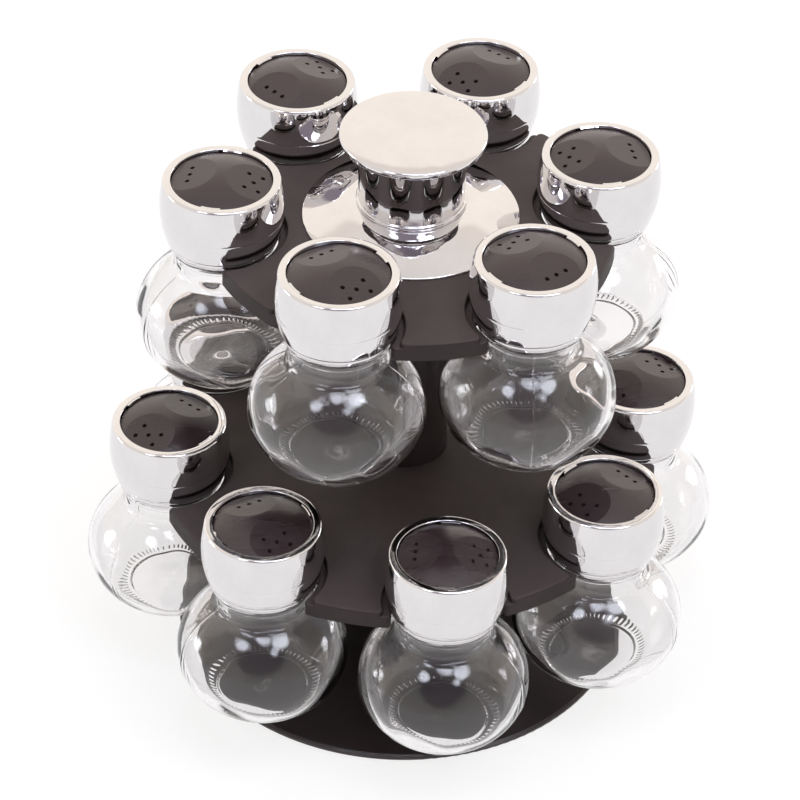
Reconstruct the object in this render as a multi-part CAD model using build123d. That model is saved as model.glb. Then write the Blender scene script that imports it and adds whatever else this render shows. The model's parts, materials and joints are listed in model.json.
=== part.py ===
"""Two-tier revolving spice carousel with hanging glass jars.

Millimetres, +Z up. The origin is on the turning axis, on the surface that the feet stand on.
Every jar is described about its own axis, with heights measured from the rim of its cap.
"""
import os
from math import acos, asin, cos, degrees, radians, sin, sqrt

from build123d import *

# Places of the jars. The lower plate is clamped a little round from the upper one
UPPER_RIM_Z = 221.0
LOWER_RIM_Z = 110.0
UPPER_JARS = 6
LOWER_JARS = 8
UPPER_PITCH = 71.3
LOWER_PITCH = 92.8
LOWER_TURN = 1.6
# The way each dial faces: from its row of three holes towards its five holes
UPPER_DIAL_TURNS = [183, 226, 37, 341, 294, 120]
LOWER_DIAL_TURNS = [34, 100, 200, 320, 223, 289, 348, 217]

# Glass jar: a squashed ball with a straight neck
BALL_RADIUS = 33.1
BALL_HALF_HEIGHT = 27.3
BALL_Z = -61.6
GLASS_BOTTOM_Z = -83.5
GLASS_WALL = 2.2
GLASS_BASE = 4.0
BALL_BANDS = 12
PUSH_UP_RADIUS = 17.4
PUSH_UP_DEPTH = 1.0
NECK_RADIUS = 17.5
NECK_WALL = 2.4
NECK_TOP_Z = -5.3
NECK_BLEND = 1.8
NECK_BEAD_RADIUS = 18.9
NECK_BEAD_Z = -30.3
NECK_BEAD_HEIGHT = 2.2

# Cap: a thick-walled barrel that slips over the neck
CAP_HEIGHT = 28.5
CAP_BULGE_RADIUS = 23.4
CAP_BULGE_Z = -11.1
CAP_CURVE = 44.75
CAP_BANDS = 6
CAP_POCKET_RADIUS = 19.0
CAP_FLOOR_Z = -3.5
CAP_FLOOR = 1.5
CAP_BORE = NECK_RADIUS + 0.3
POUR_RADIUS = 6.8
LUG_REACH = 0.9
LUG_ANGLE = 22
LUG_TOP_Z = -0.1
LUG_THICKNESS = 0.8

# Dial: a domed disc with two flats, one with five holes and one with three
DIAL_RADIUS = 18.7
DIAL_EDGE_Z = -1.2
DIAL_TOP_Z = 3.2
DIAL_UNDERSIDE_Z = -3.2
FLAT_CENTRE = 12.1
FLAT_RADIUS = 10.0
HOLE_RADIUS = 0.85
HOLE_SPACING = 4.3
HOLE_ROW_OFFSET = 2.6
NICK_RADIUS = 0.9
NICK_ANGLE = 14
PIVOT_RADIUS = 2.5
RUNNING_GAP = 0.05

# Tiers: thin domed plates, hollow beneath, with a stepped notch for each jar
TIER_DROP = 23.9
TIER_MARGIN = 6.1
TIER_SKIRT = 7.3
TIER_WALL = 2.2
TIER_DOME_RADIUS = 1390.0
TIER_EDGE_ROUND = 0.8
RECESS_RADIUS = 24.3
LEDGE_RADIUS = 21.2
LEDGE_DROP = 2.1
NOTCH_CORNER = 2.0
SEAT_RADIUS = 17.0
SEAT_SINK = 0.3

# Column, rod and its fastenings
COLUMN_RADIUS = 16.6
COLUMN_WALL = 2.2
COLUMN_WEB = 3.0
ROD_RADIUS = 4.0
ROD_HOLE = 4.3
ROD_COLLAR_RADIUS = 10.0
ROD_COLLAR = 1.6
ROD_BOTTOM_Z = 1.8
ROD_TOP_Z = 224.0
NUT_ACROSS_FLATS = 13.0
NUT_HEIGHT = 5.4
NUT_TOP_Z = 7.7
WASHER_RADIUS = 9.0
WASHER_THICKNESS = 1.2

# Base: a shallow saucer on four pads
BASE_RADIUS = 89.6
BASE_LIFT = 1.0
BASE_RIM = 2.2
BASE_HUB_Z = 13.0
BASE_HUB_RADIUS = 24.0
BASE_HUB_UNDERSIDE_Z = 9.0
BASE_LAND_RADIUS = 70.0
BASE_WALL = 2.6
FOOT_PLACE = 80.0
FOOT_RADIUS = 6.0
FOOT_THICKNESS = 2.0
BUSH_RADIUS = 7.0
BUSH_FLANGE_RADIUS = 13.0
BUSH_FLANGE = 1.5
THRUST_GAP = 0.05

# Knob, and the bright domed dish that it stands on
DISH_RADIUS = 41.0
DISH_THICKNESS = 0.8
DISH_SHOULDER = 24.3
DISH_SHOULDER_ROUND = 22.0
KNOB_TOP_RADIUS = 27.6
KNOB_TOP_Z = 238.0
KNOB_DISC_EDGE_Z = 236.5
KNOB_DISC_UNDERSIDE_Z = 233.6
KNOB_DRUM_RADIUS = 20.3
KNOB_BEAD_RADIUS = 20.9
KNOB_BEAD_Z = 206.2
KNOB_BEAD = 1.6
KNOB_HOLLOW_RADIUS = 16.5
KNOB_WALL = 2.2
INSERT_RADIUS = 7.5
INSERT_Z = 207.5
INSERT_HEIGHT = 17.5


def box_between(x0, z0, x1, z1):
    """A flat rectangle between two corners, x across and z up."""
    return Pos((x0 + x1) / 2, (z0 + z1) / 2) * Rectangle(x1 - x0, z1 - z0)


def rounded(outline, *corners):
    """Round the corner of an outline nearest to each (x, z, radius)."""
    for x, z, radius in corners:
        corner = outline.vertices().sort_by_distance((x, z, 0))[0]
        outline = fillet(corner, radius)
    return outline


def turned(outline, angle=360):
    """Revolve an outline drawn as radius and height about the vertical axis."""
    return revolve(Plane.XZ * outline, Axis.Z, revolution_arc=angle)


def ring(inner, outer, z0, z1):
    """A plain ring between two radii and two heights."""
    return turned(box_between(inner, z0, outer, z1))


def disc(radius, z0, z1):
    """A plain disc between two heights."""
    return turned(box_between(0, z0, radius, z1))


def dome_z(rim_z, pitch, radius):
    """Height of a tier's domed top at some radius from the axis."""
    edge = pitch + TIER_MARGIN
    return rim_z - TIER_DROP + (edge ** 2 - radius ** 2) / (2 * TIER_DOME_RADIUS)


def around(count, pitch, turn=0):
    """Places evenly round the axis, the first on +X or a turn in degrees from it."""
    return [Rot(0, 0, turn + 360 * i / count) * Pos(pitch, 0, 0) for i in range(count)]


def chamfered(outline, *corners):
    """Chamfer the corner of an outline nearest to each (x, z, length)."""
    for x, z, length in corners:
        corner = outline.vertices().sort_by_distance((x, z, 0))[0]
        outline = chamfer(corner, length)
    return outline


def ball_side(inset, neck, bottom):
    """One side of the ball, from its flat foot up to the neck, as short straight bands."""
    radius, half_height = BALL_RADIUS - inset, BALL_HALF_HEIGHT - inset
    foot = asin((bottom - BALL_Z) / half_height)
    shoulder = acos(neck / radius)
    angles = [foot + (shoulder - foot) * i / BALL_BANDS for i in range(BALL_BANDS + 1)]
    return [(radius * cos(a), BALL_Z + half_height * sin(a)) for a in angles]


def glass_outline(inset, neck, bottom):
    """Half of a squashed ball with a neck, cut flat at the bottom."""
    side = ball_side(inset, neck, bottom)
    points = [(0, bottom), *side, (neck, NECK_TOP_Z), (0, NECK_TOP_Z)]
    return chamfered(make_face(Polyline(*points, close=True)), (*side[-1], NECK_BLEND))


def make_glass():
    """Jar blown in clear glass, with a heavy base and a bead under the cap."""
    outer = glass_outline(0, NECK_RADIUS, GLASS_BOTTOM_Z)
    outer = chamfered(outer, (NECK_RADIUS, NECK_TOP_Z, 0.6))
    low, high = NECK_BEAD_Z - NECK_BEAD_HEIGHT / 2, NECK_BEAD_Z + NECK_BEAD_HEIGHT / 2
    bead = box_between(0, low, NECK_BEAD_RADIUS, high)
    bead = chamfered(bead, (NECK_BEAD_RADIUS, low, 0.5), (NECK_BEAD_RADIUS, high, 0.5))
    inner = glass_outline(GLASS_WALL, NECK_RADIUS - NECK_WALL, GLASS_BOTTOM_Z + GLASS_BASE)
    push_up = box_between(0, GLASS_BOTTOM_Z - 1, PUSH_UP_RADIUS, GLASS_BOTTOM_Z + PUSH_UP_DEPTH)
    push_up = chamfered(push_up, (PUSH_UP_RADIUS, GLASS_BOTTOM_Z + PUSH_UP_DEPTH, PUSH_UP_DEPTH))
    return turned(outer + bead - inner - push_up)


def barrel_side():
    """Points along the cap's barrel curve, from its foot to its rim."""
    centre = CAP_BULGE_RADIUS - CAP_CURVE
    heights = [CAP_HEIGHT * (i / CAP_BANDS - 1) for i in range(CAP_BANDS + 1)]
    return [(centre + sqrt(CAP_CURVE ** 2 - (z - CAP_BULGE_Z) ** 2), z) for z in heights]


def make_cap():
    """Cap with its sifter floor, retaining lugs and pour opening."""
    outside = barrel_side()
    points = [*outside, (CAP_POCKET_RADIUS, 0), (CAP_POCKET_RADIUS, CAP_FLOOR_Z), (0, CAP_FLOOR_Z),
              (0, CAP_FLOOR_Z - CAP_FLOOR), (CAP_BORE, CAP_FLOOR_Z - CAP_FLOOR), (CAP_BORE, -CAP_HEIGHT)]
    outline = make_face(Polyline(*points, close=True))
    outline = chamfered(outline, (*outside[-1], 0.5), (*outside[0], 0.4))
    cap = turned(outline)
    cap -= Cylinder(PIVOT_RADIUS + RUNNING_GAP, 4 * CAP_HEIGHT)
    cap -= Pos(0, FLAT_CENTRE, CAP_FLOOR_Z) * Cylinder(POUR_RADIUS, 2 * CAP_FLOOR + 1)
    lug = turned(box_between(CAP_POCKET_RADIUS - LUG_REACH, LUG_TOP_Z - LUG_THICKNESS,
                             CAP_POCKET_RADIUS + 0.5, LUG_TOP_Z), LUG_ANGLE)
    for side in (90, 270):
        cap += Rot(0, 0, side - LUG_ANGLE / 2) * lug
    return cap


def make_dial():
    """Dial closed at rest: its holes lie a quarter turn from the pour opening."""
    rise = DIAL_TOP_Z - DIAL_EDGE_Z
    curve = (DIAL_RADIUS ** 2 + rise ** 2) / (2 * rise)
    centre_z = DIAL_TOP_Z - curve
    dial = disc(DIAL_RADIUS, DIAL_UNDERSIDE_Z, DIAL_TOP_Z + 1) & Pos(0, 0, centre_z) * Sphere(curve)
    flat_depth = sqrt(curve ** 2 - FLAT_RADIUS ** 2)
    for side in (0, 180):
        tilt = degrees(FLAT_CENTRE / curve)
        shaving = Pos(0, 0, flat_depth + 5) * Box(60, 60, 10)
        dial -= Rot(0, 0, side) * Pos(0, 0, centre_z) * Rot(0, tilt, 0) * shaving
    five = [(FLAT_CENTRE, 0)]
    five += [(FLAT_CENTRE + i * HOLE_ROW_OFFSET, j * HOLE_SPACING) for i in (-1, 1) for j in (-1, 1)]
    three = [(-FLAT_CENTRE, j * HOLE_SPACING) for j in (-1, 0, 1)]
    for x, y in five + three:
        dial -= Pos(x, y, 0) * Cylinder(HOLE_RADIUS, 20)
    for side in (90, 270):
        place = Rot(0, 0, side + NICK_ANGLE) * Pos(DIAL_RADIUS, 0, 0)
        dial -= place * Cylinder(NICK_RADIUS, 20)
    stub_z = CAP_FLOOR_Z - CAP_FLOOR
    return dial + disc(PIVOT_RADIUS, stub_z, DIAL_UNDERSIDE_Z)


def make_tier(rim_z, jars, pitch, turn=0):
    """One plate: a domed top and a skirt that follow the notches, and a boss for the column."""
    radius = pitch + TIER_MARGIN
    edge_z = rim_z - TIER_DROP
    skirt_z = edge_z - TIER_SKIRT
    crown_z = dome_z(rim_z, pitch, 0)
    places = around(jars, pitch, turn)

    def plan(notch, inset):
        shape = Circle(radius - inset)
        for place in places:
            shape -= place * Circle(notch + inset)
        return shape

    def rounded_plan(notch):
        shape = plan(notch, 0)
        return fillet(shape.vertices(), NOTCH_CORNER)

    def block(shape, z0, z1):
        return Pos(0, 0, z0) * extrude(shape, z1 - z0)

    dome = Pos(0, 0, crown_z - TIER_DOME_RADIUS) * Sphere(TIER_DOME_RADIUS)
    ledge_z = edge_z - LEDGE_DROP
    plate = block(rounded_plan(RECESS_RADIUS), skirt_z, crown_z + 1) & dome
    plate = fillet(plate.edges().filter_by(lambda e: e.center().Z > ledge_z + 1
                                           and abs(e.tangent_at(0.5).Z) < 0.5), TIER_EDGE_ROUND)
    ledge = block(rounded_plan(LEDGE_RADIUS), skirt_z, ledge_z)
    ledge = fillet(ledge.edges().group_by(Axis.Z)[-1], TIER_EDGE_ROUND)
    low_dome = Pos(0, 0, -TIER_WALL) * dome
    high_hollow = block(plan(RECESS_RADIUS, TIER_WALL), skirt_z - 1, crown_z) & low_dome
    low_hollow = block(plan(LEDGE_RADIUS, TIER_WALL), skirt_z - 1, ledge_z - TIER_WALL)
    tier = plate + ledge - high_hollow - low_hollow
    tier += disc(COLUMN_RADIUS, skirt_z, crown_z - TIER_WALL / 2)
    seat_z = dome_z(rim_z, pitch, SEAT_RADIUS) - SEAT_SINK
    tier -= disc(SEAT_RADIUS, seat_z, crown_z + 1)
    return tier - disc(ROD_HOLE, skirt_z - 1, crown_z + 1), seat_z, skirt_z


def make_column(z0, z1):
    """A tube with one web, which clamps round the rod."""
    tube = ring(COLUMN_RADIUS - COLUMN_WALL, COLUMN_RADIUS, z0, z1)
    web_z = z0 + ROD_COLLAR
    return tube + ring(ROD_HOLE, COLUMN_RADIUS - 1, web_z, web_z + COLUMN_WEB)


def make_base():
    """Saucer: a flat rim that sweeps up to a hub, hollow beneath, with sinks for the pads."""
    top = Spline((BASE_RADIUS - 1.2, BASE_LIFT + BASE_RIM), (72, 6.2), (58, 10.4),
                 (BASE_HUB_RADIUS, BASE_HUB_Z), tangents=((-1, 0.10), (-1, 0)))
    wall = [(BASE_HUB_RADIUS, BASE_HUB_Z), (0, BASE_HUB_Z), (0, BASE_LIFT), (BASE_RADIUS, BASE_LIFT),
            (BASE_RADIUS, BASE_LIFT + BASE_RIM - 0.8), (BASE_RADIUS - 1.2, BASE_LIFT + BASE_RIM)]
    outline = make_face([top] + Polyline(*wall).edges())
    outline = rounded(outline, (BASE_RADIUS, BASE_LIFT, 0.5))
    lining = Pos(0, -BASE_WALL) * outline
    hollow = lining & box_between(BUSH_FLANGE_RADIUS + 4, -BASE_WALL, BASE_LAND_RADIUS, BASE_HUB_Z)
    hollow += box_between(BUSH_FLANGE_RADIUS + 4, -1, BASE_LAND_RADIUS, BASE_LIFT)
    base = turned(outline - hollow)
    base -= disc(BUSH_FLANGE_RADIUS, -1, BASE_HUB_UNDERSIDE_Z)
    base -= disc(BUSH_RADIUS, -1, BASE_HUB_Z + 1)
    for place in around(4, FOOT_PLACE):
        base -= Rot(0, 0, 45) * place * disc(FOOT_RADIUS, -1, FOOT_THICKNESS)
    return base


def make_feet():
    """Four soft pads, each let into the rim."""
    pad = rounded(box_between(0, 0, FOOT_RADIUS, FOOT_THICKNESS), (FOOT_RADIUS, 0, 0.4))
    return [Rot(0, 0, 45) * place * turned(pad) for place in around(4, FOOT_PLACE)]


def make_bush():
    """Flanged plastic bush that the rod turns in."""
    sleeve = ring(ROD_RADIUS + RUNNING_GAP, BUSH_RADIUS, BASE_HUB_UNDERSIDE_Z, BASE_HUB_Z)
    flange = ring(ROD_RADIUS + RUNNING_GAP, BUSH_FLANGE_RADIUS, BASE_HUB_Z, BASE_HUB_Z + BUSH_FLANGE)
    return sleeve + flange


def make_rod(collar_z):
    """Steel rod with a collar that carries the columns."""
    rod = rounded(box_between(0, ROD_BOTTOM_Z, ROD_RADIUS, ROD_TOP_Z),
                  (ROD_RADIUS, ROD_BOTTOM_Z, 0.6), (ROD_RADIUS, ROD_TOP_Z, 0.6))
    return turned(rod) + disc(ROD_COLLAR_RADIUS, collar_z, collar_z + ROD_COLLAR)


def make_nut():
    """Hexagonal lock nut with chamfered corners."""
    across_corners = NUT_ACROSS_FLATS / cos(radians(30))
    nut = Pos(0, 0, NUT_TOP_Z - NUT_HEIGHT) * extrude(RegularPolygon(across_corners / 2, 6), NUT_HEIGHT)
    cone = box_between(ROD_RADIUS, NUT_TOP_Z - NUT_HEIGHT, across_corners / 2, NUT_TOP_Z)
    cone = chamfer(cone.vertices().sort_by(Axis.X)[-2:], 0.9)
    return nut & turned(cone)


def make_dish():
    """Thin bright dish: a flat crown under the knob, and a slope down to a rim on the upper plate."""
    rim_z = dome_z(UPPER_RIM_Z, UPPER_PITCH, DISH_RADIUS)
    over = [(ROD_HOLE, KNOB_BEAD_Z), (DISH_SHOULDER, KNOB_BEAD_Z), (DISH_RADIUS, rim_z + DISH_THICKNESS)]
    under = [(x, z - DISH_THICKNESS) for x, z in reversed(over)]
    outline = make_face(Polyline(*over, *under, close=True))
    outline = rounded(outline, (*over[1], DISH_SHOULDER_ROUND), (*under[1], DISH_SHOULDER_ROUND - DISH_THICKNESS),
                      (*over[2], 0.3))
    return turned(outline)


def make_knob():
    """Knob: a domed disc on a drum with a bead at its foot, hollow round the insert."""
    bead_top = KNOB_BEAD_Z + KNOB_BEAD
    rise = KNOB_TOP_Z - KNOB_DISC_EDGE_Z
    crown = Spline((0, KNOB_TOP_Z), (KNOB_TOP_RADIUS * 0.6, KNOB_TOP_Z - rise * 0.3),
                   (KNOB_TOP_RADIUS, KNOB_DISC_EDGE_Z), tangents=((1, 0), (1, -0.14)))
    sides = Polyline((KNOB_TOP_RADIUS, KNOB_DISC_EDGE_Z), (KNOB_TOP_RADIUS, KNOB_DISC_UNDERSIDE_Z + 0.6),
                     (KNOB_DRUM_RADIUS + 1.6, KNOB_DISC_UNDERSIDE_Z),
                     (KNOB_DRUM_RADIUS, KNOB_DISC_UNDERSIDE_Z - 1),
                     (KNOB_DRUM_RADIUS - 0.5, bead_top), (KNOB_BEAD_RADIUS, bead_top),
                     (KNOB_BEAD_RADIUS, KNOB_BEAD_Z), (0, KNOB_BEAD_Z), (0, KNOB_TOP_Z))
    outline = make_face([crown] + sides.edges())
    outline = rounded(outline, (KNOB_TOP_RADIUS, KNOB_DISC_EDGE_Z, 0.9),
                      (KNOB_TOP_RADIUS, KNOB_DISC_UNDERSIDE_Z + 0.6, 1.0),
                      (KNOB_BEAD_RADIUS, bead_top, 0.7), (KNOB_BEAD_RADIUS, KNOB_BEAD_Z, 0.7))
    core = INSERT_RADIUS + KNOB_WALL
    outline -= box_between(core, KNOB_BEAD_Z, KNOB_HOLLOW_RADIUS, KNOB_DISC_UNDERSIDE_Z - KNOB_WALL)
    outline -= box_between(0, KNOB_BEAD_Z, ROD_HOLE, ROD_TOP_Z + 2)
    outline -= box_between(0, KNOB_BEAD_Z, core, INSERT_Z)
    outline -= box_between(0, INSERT_Z, INSERT_RADIUS, INSERT_Z + INSERT_HEIGHT)
    return turned(outline)


def make_jars(tier, rim_z, jars, pitch, dial_turns, turn=0):
    """Every jar of one tier, as glass, cap and dial."""
    pieces = {}
    for number, (place, dial_turn) in enumerate(zip(around(jars, pitch, turn), dial_turns), 1):
        facing = place * Rot(0, 0, dial_turn - turn - 360 * (number - 1) / jars)
        name = f"{tier}_jar_{number}"
        pieces[f"{name}_glass"] = Pos(0, 0, rim_z) * place * make_glass()
        pieces[f"{name}_cap"] = Pos(0, 0, rim_z) * facing * make_cap()
        pieces[f"{name}_dial"] = Pos(0, 0, rim_z) * facing * make_dial()
    return pieces


def make_carousel():
    """All the pieces, by name."""
    lower_tier, lower_seat_z, lower_skirt_z = make_tier(LOWER_RIM_Z, LOWER_JARS, LOWER_PITCH, LOWER_TURN)
    upper_tier, upper_seat_z, upper_skirt_z = make_tier(UPPER_RIM_Z, UPPER_JARS, UPPER_PITCH)
    collar_z = BASE_HUB_Z + BUSH_FLANGE + THRUST_GAP
    pieces = {
        "base": make_base(),
        "base_feet": Compound(make_feet()),
        "pivot_bush": make_bush(),
        "centre_rod": make_rod(collar_z),
        "rod_washer": ring(ROD_RADIUS, WASHER_RADIUS, NUT_TOP_Z, NUT_TOP_Z + WASHER_THICKNESS),
        "lock_nut": make_nut(),
        "lower_column": make_column(collar_z, lower_skirt_z),
        "lower_tier": lower_tier,
        "upper_column": make_column(lower_seat_z, upper_skirt_z),
        "upper_tier": upper_tier,
        "dish": make_dish(),
        "knob": make_knob(),
        "knob_insert": ring(ROD_RADIUS, INSERT_RADIUS, INSERT_Z, INSERT_Z + INSERT_HEIGHT),
    }
    pieces.update(make_jars("lower", LOWER_RIM_Z, LOWER_JARS, LOWER_PITCH, LOWER_DIAL_TURNS, LOWER_TURN))
    pieces.update(make_jars("upper", UPPER_RIM_Z, UPPER_JARS, UPPER_PITCH, UPPER_DIAL_TURNS))
    return pieces


os.makedirs("parts", exist_ok=True)
for node, piece in make_carousel().items():
    export_step(piece, f"parts/{node}.step")
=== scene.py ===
import json
from math import acos, asin, cos, degrees, pi, radians, sin, sqrt

import bmesh
import bpy
from mathutils import Matrix, Vector


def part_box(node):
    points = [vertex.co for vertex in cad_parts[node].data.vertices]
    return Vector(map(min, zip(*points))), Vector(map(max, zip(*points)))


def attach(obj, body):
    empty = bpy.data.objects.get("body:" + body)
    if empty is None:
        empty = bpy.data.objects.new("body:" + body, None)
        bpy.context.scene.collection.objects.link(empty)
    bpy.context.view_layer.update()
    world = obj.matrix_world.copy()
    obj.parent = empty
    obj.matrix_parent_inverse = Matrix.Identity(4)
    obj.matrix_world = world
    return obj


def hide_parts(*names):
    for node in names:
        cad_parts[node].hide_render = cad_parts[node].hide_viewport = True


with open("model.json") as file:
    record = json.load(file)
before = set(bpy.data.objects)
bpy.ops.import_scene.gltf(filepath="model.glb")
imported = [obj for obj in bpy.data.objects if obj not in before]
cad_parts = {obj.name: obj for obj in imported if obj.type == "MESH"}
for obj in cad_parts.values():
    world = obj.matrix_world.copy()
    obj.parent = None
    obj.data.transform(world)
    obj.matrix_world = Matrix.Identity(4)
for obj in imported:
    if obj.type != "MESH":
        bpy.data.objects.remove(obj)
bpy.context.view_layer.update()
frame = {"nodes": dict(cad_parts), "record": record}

MM = 0.001

# The jars and the way each cap's dial faces, as in the part's own model
TIERS = {"upper": 6, "lower": 8}
DIAL_TURNS = {"upper": [183, 226, 37, 341, 294, 120],
              "lower": [34, 100, 200, 320, 223, 289, 348, 217]}

# Glass jar, in millimetres from its own axis and from the plane of its cap's rim
BALL_RADIUS = 33.1
BALL_HALF_HEIGHT = 27.3
BALL_Z = -61.6
GLASS_BOTTOM_Z = -83.5
GLASS_WALL = 2.2
GLASS_BASE = 4.0
PUSH_UP_RADIUS = 17.4
PUSH_UP_DEPTH = 1.0
MOULD_MARK = 0.2
NECK_RADIUS = 17.5
NECK_WALL = 2.4
NECK_TOP_Z = -5.3
NECK_BEAD_RADIUS = 18.9
NECK_BEAD_Z = -30.3
NECK_BEAD_HEIGHT = 2.2
STIPPLES = 64
STIPPLE_RADIUS = 19.8
STIPPLE_REACH = 1.7
STIPPLE_HEIGHT = 0.34
MOULD_SEAM = 0.12
MOULD_SEAM_WIDTH = 0.006
INNER_WAVE = 0.25
ARC_STEPS = 34

# Cap, in the same way
CAP_FOOT_Z = -28.5
CAP_GROOVE_Z = -25.1
CAP_GROOVE = 0.3
CAP_ROLL = 1.3
CAP_CURVE = 44.75
CAP_CURVE_X = 23.4 - CAP_CURVE
CAP_CURVE_Z = -11.1
CAP_SHELL = 1.6
CAP_POCKET_RADIUS = 19.0
CAP_FLOOR_Z = -3.5
CAP_FLOOR = 1.5
CAP_BORE = 17.8
CAP_COLLAR = 19.3
CAP_COLLAR_Z = -18.0
CAP_HOLLOW_Z = -6.5
CAP_SEAM_Z = -15.0
CAP_SEAM = 0.07
PIVOT_HOLE = 2.55
POUR_RADIUS = 6.8
POUR_PLACE = 12.1
LUG_REACH = 0.9
LUG_HALF_ANGLE = 11
LUG_THICKNESS = 0.8
LUG_TOP_Z = -0.1
CAP_COLUMNS = 160
GROOVE_HALF_WIDTH = 0.35
SEAM_HALF_WIDTH = 0.2

# Knob and dish, in millimetres from the turning axis and from the top of each
KNOB_RADIUS = 27.6
KNOB_EDGE_Z = -1.5
KNOB_UNDERSIDE_Z = -4.4
KNOB_DRUM_RADIUS = 20.0
KNOB_DRUM_BULGE = 0.3
KNOB_BEAD_RADIUS = 20.9
KNOB_BEAD_Z = -31.8
KNOB_BEAD = 1.6
KNOB_HOLLOW_RADIUS = 16.5
KNOB_WALL = 2.2
KNOB_CORE = 9.7
KNOB_CORE_Z = -30.5
INSERT_RADIUS = 7.5
INSERT_TOP_Z = -13.0
DISH_RADIUS = 41.0
DISH_RIM_Z = -6.75
DISH_SHOULDER = 24.3
DISH_SHOULDER_REACH = 4.3
DISH_THICKNESS = 0.8
DISH_HOLE = 4.3
KNOB_COLUMNS = 256

# The camera: its side of the object, its place from the axis and above the upper caps, and its aim
VIEW_SIDE = 9.27
VIEW_DISTANCE = 1.151996
VIEW_HEIGHT = 0.81495
VIEW_TILT = 38.81
VIEW_PAN = -0.107
VIEW_ROLL = 1.637
VIEW_LENS = 170.3

# Painted top light on the plates, a pale tint standing in for light from above: its colour, and how much
# of it a level face has
TOP_LIGHT_TINT = (0.55, 0.455, 0.43, 1)
PLATE_TOP_LIGHT = 0.08

# The studio. Directions are azimuth and elevation in degrees, with azimuth 0 on the camera's side and
# 90 on its right. A stop is how far along the dim side a direction lies (its cosine) and the glow there.
# A lamp is its azimuth, elevation, half width in degrees and glow.
DIM_SIDE = (0, 44)
DIM_STOPS = ((0.0, (1.22, 1.13, 1.02)), (0.15, (0.99, 0.90, 0.82)), (0.50, (0.97, 0.92, 0.87)),
             (0.80, (0.88, 0.84, 0.82)), (0.91, (0.37, 0.33, 0.38)))
LAMPS = ((50, 62, 10, (6.8, 7.1, 8.0)), (4, 73, 9, (6.0, 6.3, 7.2)), (26, 52, 5, (6.0, 6.3, 7.2)),
         (-42, 54, 7, (6.4, 6.7, 7.6)), (-98, 5, 7, (9.0, 9.2, 9.6)), (127, 6, 7, (8.0, 8.0, 8.4)))


# ---------------------------------------------------------------- outlines and turned meshes

def shares(steps):
    """Even steps from 0 to 1."""
    return [i / steps for i in range(steps + 1)]


def arc(x, z, radius, height, start, end, steps):
    """Points along an ellipse about (x, z), from one angle in degrees to another."""
    angles = [radians(start + (end - start) * t) for t in shares(steps)]
    return [(x + radius * cos(a), z + height * sin(a)) for a in angles]


def walk(points, at, way, reach):
    """Go along an outline from one point: the next point not passed, and the place reached."""
    here = Vector(points[at])
    while True:
        at += way
        there = Vector(points[at % len(points)])
        step = (there - here).length
        if step > reach:
            return at, here.lerp(there, reach / step)
        reach -= step
        here = there


def softened(points, *corners, steps=5):
    """Round an outline at the corner nearest to each (x, z, reach), as far as reach to each side."""
    for x, z, reach in corners:
        at = min(range(len(points)), key=lambda i: (Vector(points[i]) - Vector((x, z))).length)
        corner = Vector(points[at])
        before, first = walk(points, at, -1, reach)
        after, last = walk(points, at, 1, reach)
        curve = [tuple(first.lerp(corner, t).lerp(corner.lerp(last, t), t)) for t in shares(steps)]
        points = points[:before + 1] + curve + points[after:]
    return points


def circle(columns):
    """Even angles round a full circle, in radians."""
    return [2 * pi * i / columns for i in range(columns)]


def add_turned(mesh, outline, angles, closed, shift=None):
    """Turn an outline of (radius, height) in millimetres about Z.

    shift(index, radius, z, angle) gives how far to move a point out and up. Short of a full circle,
    the two ends are closed with faces."""
    full = angles[-1] - angles[0] > pi
    rings = []
    for index, (r, z) in enumerate(outline):
        if r < 1e-6:
            rings.append([mesh.verts.new((0, 0, z * MM))] * len(angles))
            continue
        row = []
        for a in angles:
            out, up = shift(index, r, z, a) if shift else (0, 0)
            row.append(mesh.verts.new(((r + out) * MM * cos(a), (r + out) * MM * sin(a), (z + up) * MM)))
        rings.append(row)
    following = rings[1:] + rings[:1] if closed else rings[1:]
    for lower, upper in zip(rings, following):
        for i in range(len(angles) if full else len(angles) - 1):
            j = (i + 1) % len(angles)
            corners = []
            for vertex in (lower[i], lower[j], upper[j], upper[i]):
                if vertex not in corners:
                    corners.append(vertex)
            mesh.faces.new(corners)
    if not full:
        for end in (0, -1):
            mesh.faces.new([row[end] for row in rings])


def finished(mesh, name, sharp=35):
    """A mesh from its draft: faces outward, smooth apart from its real corners."""
    bmesh.ops.recalc_face_normals(mesh, faces=mesh.faces)
    data = bpy.data.meshes.new(name)
    mesh.to_mesh(data)
    mesh.free()
    data.shade_smooth()
    data.set_sharp_from_angle(angle=radians(sharp))
    return data


def turned(name, outline, angles, closed=True, shift=None):
    """A mesh of one turned outline."""
    mesh = bmesh.new()
    add_turned(mesh, outline, angles, closed, shift)
    return finished(mesh, name)


def cut(data, cutter):
    """A mesh with another one taken away."""
    body = bpy.data.objects.new("body", data)
    tool = bpy.data.objects.new("tool", cutter)
    for obj in (body, tool):
        bpy.context.scene.collection.objects.link(obj)
    saw = body.modifiers.new("cut", "BOOLEAN")
    saw.object = tool
    saw.solver = "EXACT"
    result = bpy.data.meshes.new_from_object(body.evaluated_get(bpy.context.evaluated_depsgraph_get()))
    for obj in (body, tool):
        bpy.data.objects.remove(obj)
    return result


def rotated(data, angle):
    """A copy of a mesh, turned about Z by an angle in degrees."""
    copy = data.copy()
    copy.transform(Matrix.Rotation(radians(angle), 4, "Z"))
    return copy


def piece(name, data, body, slot, place, replaces):
    """Put a mesh in the scene on its body, in its slot's finish and in place of its CAD node."""
    if not data.materials:
        data.materials.append(SLOTS[slot])
    obj = bpy.data.objects.new(name, data)
    bpy.context.scene.collection.objects.link(obj)
    obj.matrix_world = place
    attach(obj, body)
    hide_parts(replaces)
    return obj


# ---------------------------------------------------------------- materials

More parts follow.
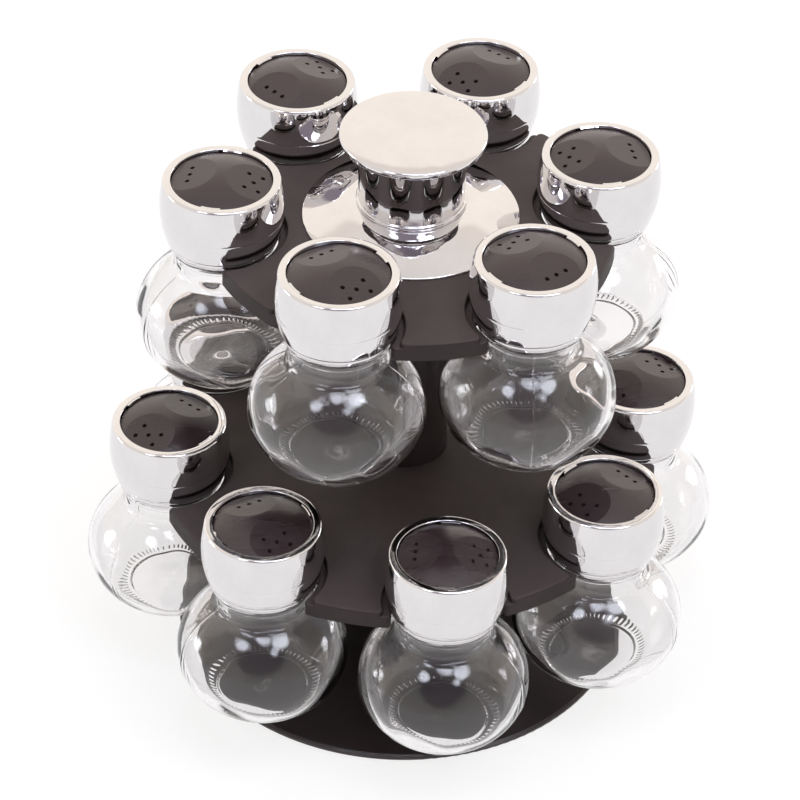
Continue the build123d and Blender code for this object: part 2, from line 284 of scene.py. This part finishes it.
class Look:
    """A material's node tree, with short ways to add the usual nodes."""

    def __init__(self, name):
        self.material = bpy.data.materials.new(name)
        self.material.use_nodes = True
        self.tree = self.material.node_tree
        self.shader = self.tree.nodes["Principled BSDF"]
        self.coords = self.add("ShaderNodeTexCoord").outputs["Object"]

    def add(self, kind, **settings):
        node = self.tree.nodes.new(kind)
        for key, value in settings.items():
            setattr(node, key, value)
        return node

    def link(self, source, target):
        self.tree.links.new(source, target)

    def set(self, **sockets):
        for key, value in sockets.items():
            self.shader.inputs[key.replace("_", " ")].default_value = value

    def noise(self, scale, detail=3.0, roughness=0.55, stretch=None):
        node = self.add("ShaderNodeTexNoise")
        node.inputs["Scale"].default_value = scale
        node.inputs["Detail"].default_value = detail
        node.inputs["Roughness"].default_value = roughness
        source = self.coords
        if stretch:
            mapping = self.add("ShaderNodeMapping")
            mapping.inputs["Scale"].default_value = stretch
            self.link(source, mapping.inputs["Vector"])
            source = mapping.outputs["Vector"]
        self.link(source, node.inputs["Vector"])
        return node.outputs["Fac"]

    def spread(self, value, low, high, start=0.3, end=0.7):
        """Map a noise value's middle onto a range."""
        node = self.add("ShaderNodeMapRange")
        for key, number in (("From Min", start), ("From Max", end), ("To Min", low), ("To Max", high)):
            node.inputs[key].default_value = number
        self.link(value, node.inputs["Value"])
        return node.outputs["Result"]

    def blend(self, value, first, second):
        """Mix two colours by a value."""
        node = self.add("ShaderNodeMix", data_type="RGBA")
        self.link(value, node.inputs["Factor"])
        for name, colour in (("A", first), ("B", second)):
            socket = [s for s in node.inputs if s.name == name and s.type == "RGBA"][0]
            socket.default_value = (*colour, 1)
        return [s for s in node.outputs if s.type == "RGBA"][0]

    def painted_top_light(self, colour, amount):
        """Paint patchy top light over a colour: faces that look up get a paler tint, as painted light
        from above.
        """
        facing = self.add("ShaderNodeSeparateXYZ")
        self.link(self.add("ShaderNodeNewGeometry").outputs["Normal"], facing.inputs["Vector"])
        # painted top light: the more a face looks up, the more pale tint it gets
        upward = self.spread(facing.outputs["Z"], 0, amount, 0.5, 0.95)
        patchy = self.add("ShaderNodeMath", operation="MULTIPLY")
        self.link(upward, patchy.inputs[0])
        self.link(self.spread(self.noise(70, 6, 0.7), 0.7, 1.0), patchy.inputs[1])
        node = self.add("ShaderNodeMix", data_type="RGBA")
        self.link(patchy.outputs["Value"], node.inputs["Factor"])
        first, second = [s for s in node.inputs if s.name in ("A", "B") and s.type == "RGBA"]
        self.link(colour, first)
        # the pale tint of the painted top light
        second.default_value = TOP_LIGHT_TINT
        return [s for s in node.outputs if s.type == "RGBA"][0]

    def bump(self, *layers):
        """Stack (height, strength, distance in metres) layers into the shader's normal."""
        normal = None
        for height, strength, distance in layers:
            node = self.add("ShaderNodeBump")
            node.inputs["Strength"].default_value = strength
            node.inputs["Distance"].default_value = distance
            self.link(height, node.inputs["Height"])
            if normal:
                self.link(normal, node.inputs["Normal"])
            normal = node.outputs["Normal"]
        self.link(normal, self.shader.inputs["Normal"])


def plastic(name, dark, light, rough, grain_scale, grain_depth, specular, top_light=0):
    """Moulded plastic: a fine grain, faint handling marks, uneven gloss and perhaps painted top light, a
    paler tint on faces that look up.
    """
    look = Look(name)
    marks = look.noise(38, 5, 0.6)
    streaks = look.noise(24, 3, 0.5, stretch=(1.0, 6.0, 1.0))
    colour = look.blend(look.spread(marks, 0, 1), dark, light)
    # painted top light on upward faces, when asked for
    if top_light:
        colour = look.painted_top_light(colour, top_light)
    look.link(colour, look.shader.inputs["Base Color"])
    look.link(look.spread(streaks, rough - 0.035, rough + 0.045), look.shader.inputs["Roughness"])
    look.set(Specular_IOR_Level=specular)
    look.bump((look.noise(grain_scale, 2, 0.5), 0.35, grain_depth), (look.noise(150, 2), 0.06, 0.0002))
    return look.material


def chrome():
    """Bright plating: almost a mirror, with a soft haze of wiping marks and slight waviness."""
    look = Look("chrome")
    haze = look.noise(55, 6, 0.65)
    look.link(look.blend(look.spread(haze, 0, 1), (0.70, 0.685, 0.695), (0.76, 0.745, 0.755)),
              look.shader.inputs["Base Color"])
    look.set(Metallic=1.0)
    look.link(look.spread(look.noise(120, 5), 0.018, 0.06), look.shader.inputs["Roughness"])
    look.bump((look.noise(95, 1), 0.3, 0.0005), (look.noise(330, 1), 0.25, 0.00006))
    return look.material


def glass():
    """Clear pressed glass: slightly wavy, with a trace of fine surface haze."""
    look = Look("clear_glass")
    look.set(Transmission_Weight=1.0, IOR=1.5)
    look.link(look.blend(look.noise(30, 2), (0.93, 0.922, 0.928), (0.955, 0.949, 0.953)),
              look.shader.inputs["Base Color"])
    look.link(look.spread(look.noise(45, 5), 0.0, 0.025, 0.45, 0.8), look.shader.inputs["Roughness"])
    look.bump((look.noise(42, 2), 0.16, 0.0012))
    return look.material


def metal(name, first, second, rough, turning=(1, 1, 300)):
    """Turned metal with fine lathe lines."""
    look = Look(name)
    look.set(Metallic=1.0)
    look.link(look.blend(look.noise(90, 4), first, second), look.shader.inputs["Base Color"])
    lines = look.noise(8, 3, 0.6, stretch=turning)
    look.link(look.spread(lines, rough, rough + 0.14), look.shader.inputs["Roughness"])
    look.bump((lines, 0.2, 0.00005))
    return look.material


def rubber():
    """Soft matt pad with a dusting in its grain."""
    look = Look("rubber")
    grain = look.noise(900, 3)
    look.link(look.blend(grain, (0.02, 0.02, 0.021), (0.045, 0.044, 0.043)),
              look.shader.inputs["Base Color"])
    look.link(look.spread(look.noise(60, 3), 0.68, 0.85), look.shader.inputs["Roughness"])
    look.bump((grain, 0.4, 0.00006))
    return look.material


SLOTS = {
    "black_plastic": plastic("black_plastic", (0.025, 0.0180, 0.0175), (0.033, 0.0245, 0.024),
                             0.34, 2600, 0.00002, 0.34),
    "dial_plastic": plastic("dial_plastic", (0.027, 0.016, 0.018), (0.034, 0.021, 0.023),
                            0.27, 3200, 0.00001, 0.62),
    "bush_plastic": plastic("bush_plastic", (0.72, 0.71, 0.67), (0.80, 0.79, 0.75),
                            0.34, 1500, 0.00002, 0.5),
    "chrome": chrome(),
    "clear_glass": glass(),
    "steel": metal("steel", (0.50, 0.50, 0.51), (0.62, 0.62, 0.62), 0.22),
    "brass": metal("brass", (0.70, 0.52, 0.25), (0.80, 0.62, 0.32), 0.22),
    "rubber": rubber(),
}


def dress_cad_nodes():
    """Every CAD node that stays takes its slot's finish. The plates have a coarser grain and painted top
    light on their upward faces.
    """
    slots = {row["node"]: row["material_slot"] for row in frame["record"]["subparts"]}
    # the plates get painted top light, a paler tint on faces that look up
    grained = plastic("grained_plastic", (0.021, 0.0145, 0.0137), (0.029, 0.0205, 0.0195),
                      0.52, 2200, 0.00004, 0.24, PLATE_TOP_LIGHT)
    for node, obj in frame["nodes"].items():
        obj.data.materials.clear()
        obj.data.materials.append(grained if node.endswith("_tier") else SLOTS[slots[node]])


# ---------------------------------------------------------------- glass jar

def glass_side(inset, neck, bottom):
    """One side of the glass: its foot, the ball, then the neck's middle and top."""
    radius, half_height = BALL_RADIUS - inset, BALL_HALF_HEIGHT - inset
    foot = degrees(asin((bottom - BALL_Z) / half_height))
    shoulder = degrees(acos(neck / radius))
    ball = arc(0, BALL_Z, radius, half_height, foot, shoulder, ARC_STEPS)
    return ball + [(neck, (ball[-1][1] + NECK_TOP_Z) / 2), (neck, NECK_TOP_Z)]


def shallow_dome(radius, edge_z, rise, steps=8):
    """A slight dome from the axis out to just short of a radius."""
    return [(radius * i / steps, edge_z + rise * (1 - (i / steps) ** 2)) for i in range(steps)]


def glass_outline():
    """The whole section, from the middle of the base outside to the middle of the base inside."""
    outer = glass_side(0, NECK_RADIUS, GLASS_BOTTOM_Z)
    foot, shoulder = outer[0], outer[ARC_STEPS]
    low, high = NECK_BEAD_Z - NECK_BEAD_HEIGHT / 2, NECK_BEAD_Z + NECK_BEAD_HEIGHT / 2
    bead = [(NECK_RADIUS, low), (NECK_BEAD_RADIUS, low), (NECK_BEAD_RADIUS, high), (NECK_RADIUS, high)]
    recess_z = GLASS_BOTTOM_Z + PUSH_UP_DEPTH
    recess = [(PUSH_UP_RADIUS - PUSH_UP_DEPTH, recess_z), (PUSH_UP_RADIUS, GLASS_BOTTOM_Z)]
    mark = [(0, recess_z - MOULD_MARK), (0.5, recess_z - MOULD_MARK), (1.1, recess_z)]
    outer = mark + recess + outer[:ARC_STEPS + 1] + bead + outer[-1:]
    outer = softened(outer, (*recess[0], 0.5), (*recess[1], 0.4), (*foot, 1.6), (*shoulder, 3.2), steps=8)
    outer = softened(outer, (*bead[1], 0.9), (*bead[2], 0.9), (*bead[0], 0.4), (*bead[3], 0.4))
    bore = NECK_RADIUS - NECK_WALL
    floor_z = GLASS_BOTTOM_Z + GLASS_BASE
    inner = glass_side(GLASS_WALL, bore, floor_z)
    foot, shoulder = inner[0], inner[ARC_STEPS]
    inner = shallow_dome(foot[0], floor_z, 0.5) + inner
    inner = softened(inner, (*foot, 3.0), (*shoulder, 3.2), steps=8)
    return softened(outer + inner[::-1], (NECK_RADIUS, NECK_TOP_Z, 0.9), (bore, NECK_TOP_Z, 0.9))


def make_glass():
    """The jar: wavy inside, with a stippled ring under its edge and a mould seam up each side."""
    outline = glass_outline()
    lip = max(range(len(outline)), key=lambda i: outline[i][1])
    seams = [side + off * MOULD_SEAM_WIDTH for side in (pi, 2 * pi) for off in (-1.5, -0.7, 0.7, 1.5)]
    angles = sorted(circle(4 * STIPPLES) + [a % (2 * pi) for a in seams])

    def shift(index, r, z, a):
        if index > lip:
            wave = sin(3 * a + 0.09 * z) * sin(0.16 * z + 1) + 0.6 * sin(5 * a - 0.21 * z)
            wave += 0.2 * sin(11 * a + 0.35 * z)
            return INNER_WAVE * wave * min(1, r / 12), 0
        near = 1 - ((r - STIPPLE_RADIUS) / STIPPLE_REACH) ** 2
        if z < GLASS_BOTTOM_Z + 3 and near > 0:
            bump = STIPPLE_HEIGHT * near * cos(STIPPLES * a)
            return bump, -max(0, bump)
        if z < BALL_Z - 0.7 * BALL_HALF_HEIGHT:
            return 0, 0
        off = abs((a + pi / 2) % pi - pi / 2) / MOULD_SEAM_WIDTH
        return MOULD_SEAM / (1 + off ** 4), 0

    return turned("glass", outline, angles, closed=False, shift=shift)


# ---------------------------------------------------------------- cap

def barrel_x(z, inset=0):
    """Radius of the cap's barrel at a height."""
    return CAP_CURVE_X + sqrt((CAP_CURVE - inset) ** 2 - (z - CAP_CURVE_Z) ** 2)


def barrel(z0, z1, steps, inset=0):
    """Points up or down the cap's barrel curve."""
    heights = [z0 + (z1 - z0) * t for t in shares(steps)]
    return [(barrel_x(z, inset), z) for z in heights]


def cap_outline():
    """Section of the cap, round from its foot: barrel, rim, pocket, floor, bore, collar and lining."""
    under_z = CAP_FLOOR_Z - CAP_FLOOR
    foot = barrel(CAP_FOOT_Z, CAP_GROOVE_Z - GROOVE_HALF_WIDTH, 8)
    groove = [(barrel_x(CAP_GROOVE_Z) - CAP_GROOVE, CAP_GROOVE_Z)]
    middle = barrel(CAP_GROOVE_Z + GROOVE_HALF_WIDTH, CAP_SEAM_Z - SEAM_HALF_WIDTH, 14)
    seam = [(barrel_x(CAP_SEAM_Z) - CAP_SEAM, CAP_SEAM_Z)]
    outside = foot + groove + middle + seam + barrel(CAP_SEAM_Z + SEAM_HALF_WIDTH, 0, 16)
    pocket = [(CAP_POCKET_RADIUS, 0), (CAP_POCKET_RADIUS, CAP_FLOOR_Z), (PIVOT_HOLE, CAP_FLOOR_Z),
              (PIVOT_HOLE, under_z), (CAP_BORE, under_z), (CAP_BORE, CAP_COLLAR_Z),
              (CAP_COLLAR, CAP_COLLAR_Z)]
    lining = [(CAP_COLLAR, CAP_HOLLOW_Z)] + barrel(CAP_HOLLOW_Z, CAP_FOOT_Z, 10, CAP_SHELL)
    return softened(outside + pocket + lining, (*foot[0], CAP_ROLL), (*foot[-1], 0.5),
                    (barrel_x(0), 0, 0.9), (*pocket[0], 0.45), (*pocket[1], 0.4), (*pocket[-1], 0.4),
                    (*lining[-1], 0.3))


def make_cap():
    """Cap with its pour opening and its two lugs, which hold the dial in."""
    hole_outline = [(0, 2 * CAP_FLOOR_Z), (POUR_RADIUS, 2 * CAP_FLOOR_Z), (POUR_RADIUS, 0), (0, 0)]
    hole = turned("pour_hole", hole_outline, circle(48), closed=False)
    hole.transform(Matrix.Translation((0, POUR_PLACE * MM, 0)))
    mesh = bmesh.new()
    mesh.from_mesh(cut(turned("cap_body", cap_outline(), circle(CAP_COLUMNS)), hole))
    inner, outer = CAP_POCKET_RADIUS - LUG_REACH, CAP_POCKET_RADIUS + 0.5
    lug = [(outer, LUG_TOP_Z), (inner + 0.3, LUG_TOP_Z), (inner, LUG_TOP_Z - 0.25),
           (inner, -LUG_THICKNESS), (outer, -LUG_THICKNESS)]
    for side in (90, 270):
        angles = [radians(side + LUG_HALF_ANGLE * (2 * t - 1)) for t in shares(12)]
        add_turned(mesh, lug, angles, closed=True)
    return finished(mesh, "cap")


def make_jars():
    """Glass and cap for every jar, each turned its own way."""
    glass_data, cap_data = make_glass(), make_cap()
    for tier, count in TIERS.items():
        for number in range(1, count + 1):
            name = f"{tier}_jar_{number}"
            low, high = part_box(f"{name}_cap")
            rim = Matrix.Translation(((low.x + high.x) / 2, (low.y + high.y) / 2, high.z))
            turn = DIAL_TURNS[tier][number - 1]
            glass = rotated(glass_data, turn * 1.7 + 40 * number)
            cap = rotated(cap_data, turn)
            piece(f"{name}_clear_glass", glass, name, "clear_glass", rim, f"{name}_glass")
            piece(f"{name}_bright_cap", cap, f"{tier}_cap_{number}", "chrome", rim, f"{name}_cap")


# ---------------------------------------------------------------- knob and dish

def make_knob():
    """The bright knob: crown, drum and bead, then the hollow round its core."""
    top_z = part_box("knob")[1].z
    bead_top = KNOB_BEAD_Z + KNOB_BEAD
    crown = [(KNOB_RADIUS * t, KNOB_EDGE_Z * (0.4 * t ** 2 + 0.6 * t ** 9)) for t in shares(24)]
    roof_z = KNOB_UNDERSIDE_Z - KNOB_WALL
    lip = (KNOB_RADIUS, KNOB_UNDERSIDE_Z + 0.6)
    flare = (KNOB_DRUM_RADIUS + 1.6, KNOB_UNDERSIDE_Z)
    drum_top = KNOB_UNDERSIDE_Z - 1
    drum = [(KNOB_DRUM_RADIUS + KNOB_DRUM_BULGE * (1 - (1 - 2 * t) ** 2),
             drum_top + (bead_top - drum_top) * t) for t in shares(12)]
    bead = [(KNOB_BEAD_RADIUS, bead_top), (KNOB_BEAD_RADIUS, KNOB_BEAD_Z)]
    hollow = [(KNOB_HOLLOW_RADIUS, KNOB_BEAD_Z), (KNOB_HOLLOW_RADIUS, roof_z), (KNOB_CORE, roof_z),
              (KNOB_CORE, KNOB_CORE_Z), (INSERT_RADIUS, KNOB_CORE_Z), (INSERT_RADIUS, INSERT_TOP_Z),
              (0, INSERT_TOP_Z)]
    outline = softened(crown + [lip, flare] + drum + bead + hollow, (*crown[-1], 0.8), (*lip, 0.8),
                       (*flare, 0.6), (*drum[0], 0.6), (*drum[-1], 0.35), (*bead[0], 0.65),
                       (*bead[1], 0.65))
    data = turned("knob", outline, circle(KNOB_COLUMNS), closed=False)
    piece("bright_knob", data, "carousel", "chrome", Matrix.Translation((0, 0, top_z)), "knob")


def make_dish():
    """The bright dish: a flat crown under the knob, a slope like a shallow bell and a rolled edge."""
    crown_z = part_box("knob")[1].z + KNOB_BEAD_Z * MM
    over = [(DISH_HOLE, 0), (DISH_SHOULDER, 0), (DISH_RADIUS, DISH_RIM_Z)]
    under = [(r, z - DISH_THICKNESS) for r, z in reversed(over)]
    outline = softened(over + under, (*over[1], DISH_SHOULDER_REACH), (*under[1], DISH_SHOULDER_REACH),
                       steps=14)
    outline = softened(outline, (*over[2], 0.38), (*under[0], 0.2))
    data = turned("dish", outline, circle(KNOB_COLUMNS))
    piece("bright_dish", data, "carousel", "chrome", Matrix.Translation((0, 0, crown_z)), "dish")


# ---------------------------------------------------------------- stage, light and camera

def make_floor():
    """A plain pale floor. Its own faint glow keeps the shadows on it light."""
    look = Look("floor")
    look.link(look.blend(look.noise(3, 2), (0.19, 0.19, 0.19), (0.21, 0.21, 0.21)),
              look.shader.inputs["Base Color"])
    look.link(look.spread(look.noise(200, 2), 0.8, 0.9), look.shader.inputs["Roughness"])
    look.set(Emission_Color=(1, 0.995, 0.99, 1), Emission_Strength=0.80, Specular_IOR_Level=0.1)
    mesh = bmesh.new()
    bmesh.ops.create_grid(mesh, x_segments=8, y_segments=8, size=6)
    data = bpy.data.meshes.new("floor")
    mesh.to_mesh(data)
    mesh.free()
    data.materials.append(look.material)
    floor = bpy.data.objects.new("floor", data)
    bpy.context.scene.collection.objects.link(floor)


def camera_side():
    """Turns a direction given as seen from the camera into the row frame."""
    return Matrix.Rotation(radians(-VIEW_SIDE), 4, "Z")


def make_camera(rim_z):
    """The camera, placed from the height of the upper caps' rims."""
    pan, tilt, roll = radians(VIEW_PAN), radians(VIEW_TILT), radians(VIEW_ROLL)
    forward = Vector((sin(pan) * cos(tilt), cos(pan) * cos(tilt), -sin(tilt)))
    right = forward.cross(Vector((0, 0, 1))).normalized()
    up = right.cross(forward)
    across = right * cos(roll) + up * sin(roll)
    upward = up * cos(roll) - right * sin(roll)
    turn = Matrix((across, upward, -forward)).transposed().to_4x4()
    data = bpy.data.cameras.new("camera")
    data.lens = VIEW_LENS
    data.sensor_width = 36
    data.clip_start, data.clip_end = 0.05, 50
    camera = bpy.data.objects.new("camera", data)
    bpy.context.scene.collection.objects.link(camera)
    place = Matrix.Translation((0, -VIEW_DISTANCE, rim_z + VIEW_HEIGHT))
    camera.matrix_world = camera_side() @ place @ turn
    bpy.context.scene.camera = camera


def seen_from_camera(azimuth, elevation):
    """A direction in the row frame."""
    a, e = radians(azimuth), radians(elevation)
    return camera_side().to_3x3() @ Vector((sin(a) * cos(e), -cos(a) * cos(e), sin(e)))


def make_world():
    """Studio walls: bright low down and behind, dim over and round the camera, with soft lamps."""
    world = bpy.data.worlds.new("studio")
    bpy.context.scene.world = world
    world.use_nodes = True
    tree = world.node_tree
    way = tree.nodes.new("ShaderNodeTexCoord").outputs["Generated"]

    def glow(direction, stops):
        """Colour by how far a direction lies along another one."""
        along = tree.nodes.new("ShaderNodeVectorMath")
        along.operation = "DOT_PRODUCT"
        along.inputs[1].default_value = seen_from_camera(*direction)
        tree.links.new(way, along.inputs[0])
        ramp = tree.nodes.new("ShaderNodeValToRGB")
        ramp.color_ramp.interpolation = "EASE"
        for i, (at, colour) in enumerate(stops):
            stop = ramp.color_ramp.elements[i] if i < 2 else ramp.color_ramp.elements.new(at)
            stop.position, stop.color = at, (*colour, 1)
        tree.links.new(along.outputs["Value"], ramp.inputs["Fac"])
        return ramp.outputs["Color"]

    total = glow(DIM_SIDE, DIM_STOPS)
    for azimuth, elevation, width, colour in LAMPS:
        outside, inside = cos(radians(1.2 * width)), cos(radians(0.7 * width))
        lamp = glow((azimuth, elevation), ((outside, (0, 0, 0)), (inside, colour)))
        both = tree.nodes.new("ShaderNodeVectorMath")
        tree.links.new(total, both.inputs[0])
        tree.links.new(lamp, both.inputs[1])
        total = both.outputs["Vector"]
    tree.links.new(total, tree.nodes["Background"].inputs["Color"])


def make_light():
    """The studio, a plain view transform, and enough bounces for glass behind glass."""
    make_world()
    settings = bpy.context.scene.view_settings
    settings.view_transform = "Standard"
    settings.look = "None"
    cycles = bpy.context.scene.cycles
    cycles.max_bounces = 24
    cycles.transmission_bounces = 20
    cycles.glossy_bounces = 8


dress_cad_nodes()
make_jars()
make_knob()
make_dish()
make_floor()
make_camera(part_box("upper_jar_1_cap")[1].z)
make_light()
